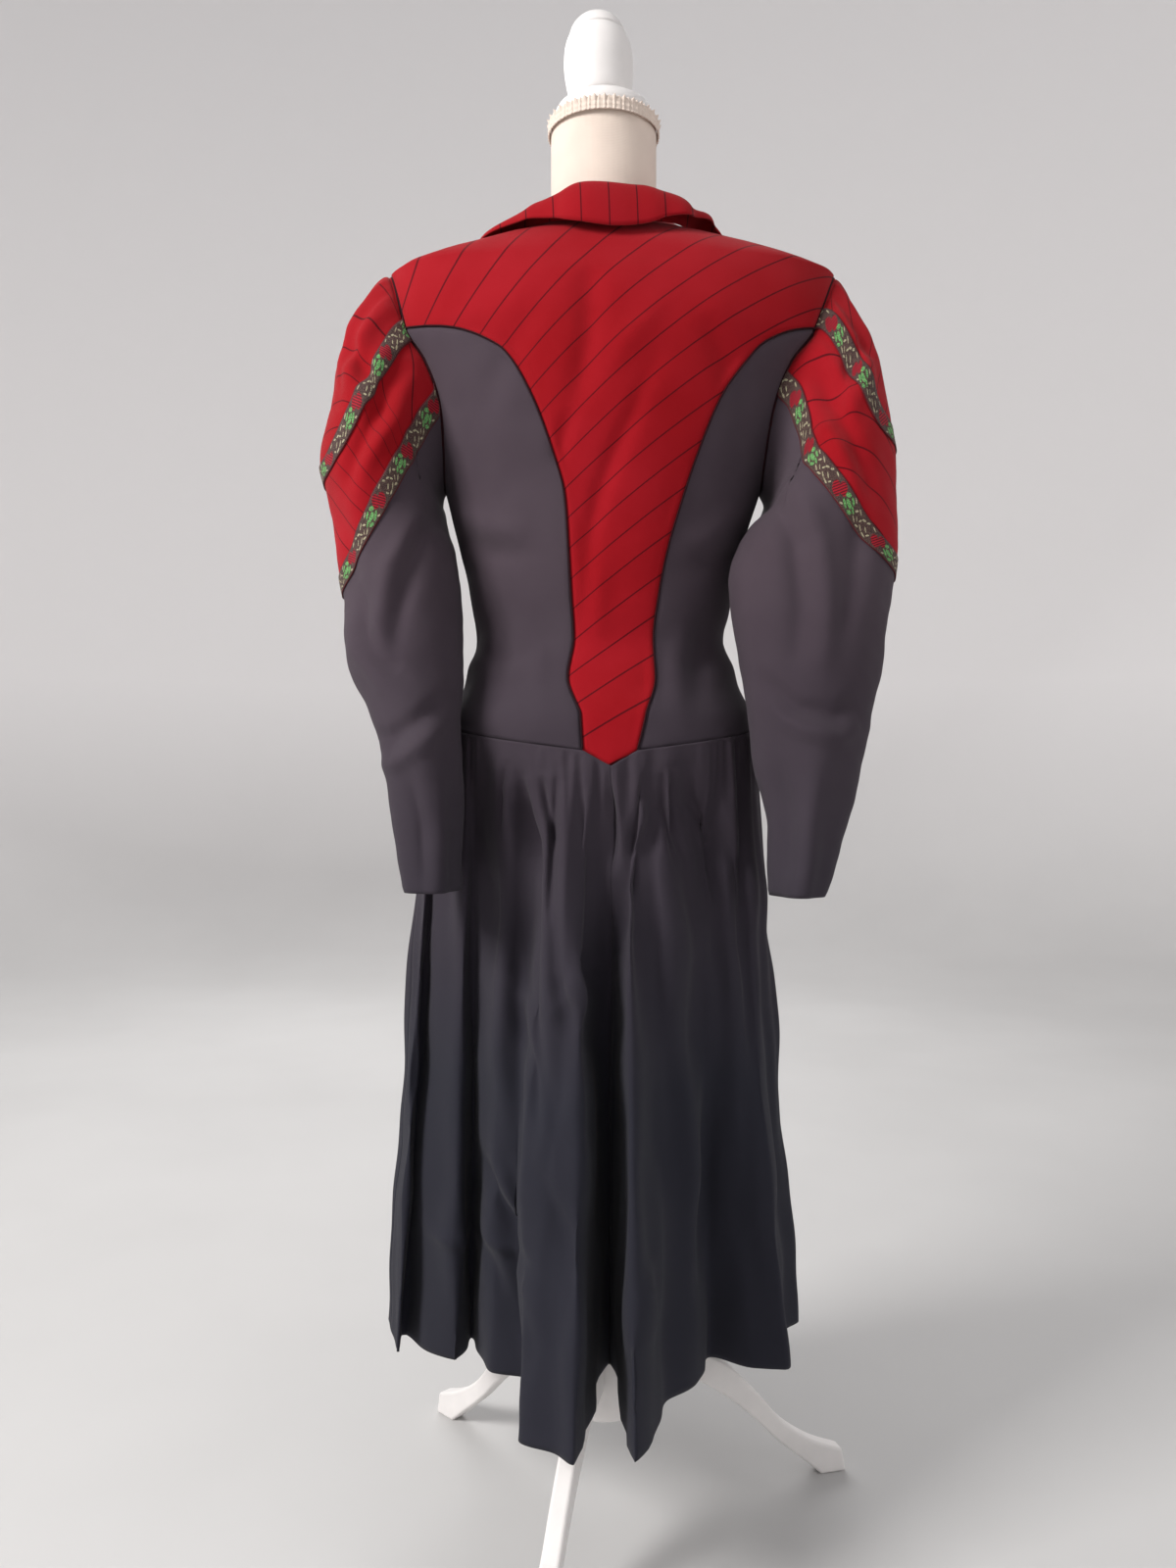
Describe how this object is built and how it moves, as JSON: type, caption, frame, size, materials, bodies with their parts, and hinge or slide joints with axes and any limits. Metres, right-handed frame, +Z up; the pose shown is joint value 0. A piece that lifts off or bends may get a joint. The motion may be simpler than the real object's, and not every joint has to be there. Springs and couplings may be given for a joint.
{
  "type": "long-sleeved dress on a limbless dress form with a tripod stand",
  "caption": "Long-sleeved dress with a pointed centre panel, roll collar and gathered skirt, on a dress form with a tripod stand.",
  "frame": {"origin": "on the floor, under the middle of the box round the whole part", "axes": "+Z up, the dress faces -Y and its back is towards +Y, +X to the wearer's left"},
  "size_m": [0.5704, 0.4743, 1.5187],
  "materials": {
    "red_cotton": "plain-woven red cotton with fine dark pinstripes",
    "grey_cotton": "plain-woven charcoal cotton",
    "flower_ribbon": "woven ribbon with roses and leaves",
    "button": "dull dark button",
    "form_cover": "cream stretch cover",
    "white_paint": "turned and sawn wood, painted white"
  },
  "bodies": {
    "root": {"back_red_panel": "red_cotton", "front_red_left": "red_cotton", "front_red_right": "red_cotton", "front_placket": "red_cotton", "collar": "red_cotton", "side_back_left": "grey_cotton", "side_back_right": "grey_cotton", "side_front_left": "grey_cotton", "side_front_right": "grey_cotton", "button_1": "button", "button_2": "button", "button_3": "button", "button_4": "button", "button_5": "button", "button_6": "button", "sleeve_cap_left": "red_cotton", "sleeve_band_left": "red_cotton", "sleeve_lower_left": "grey_cotton", "ribbon_upper_left": "flower_ribbon", "ribbon_lower_left": "flower_ribbon", "sleeve_cap_right": "red_cotton", "sleeve_band_right": "red_cotton", "sleeve_lower_right": "grey_cotton", "ribbon_upper_right": "flower_ribbon", "ribbon_lower_right": "flower_ribbon", "skirt_back_left": "grey_cotton", "skirt_back_right": "grey_cotton", "skirt_front_left": "grey_cotton", "skirt_front_right": "grey_cotton", "form_body": "form_cover", "neck_frill": "form_cover", "neck_cap": "white_paint", "finial": "white_paint", "pole": "white_paint", "hub": "white_paint", "leg_1": "white_paint", "leg_2": "white_paint", "leg_3": "white_paint"}
  },
  "joints": []
}
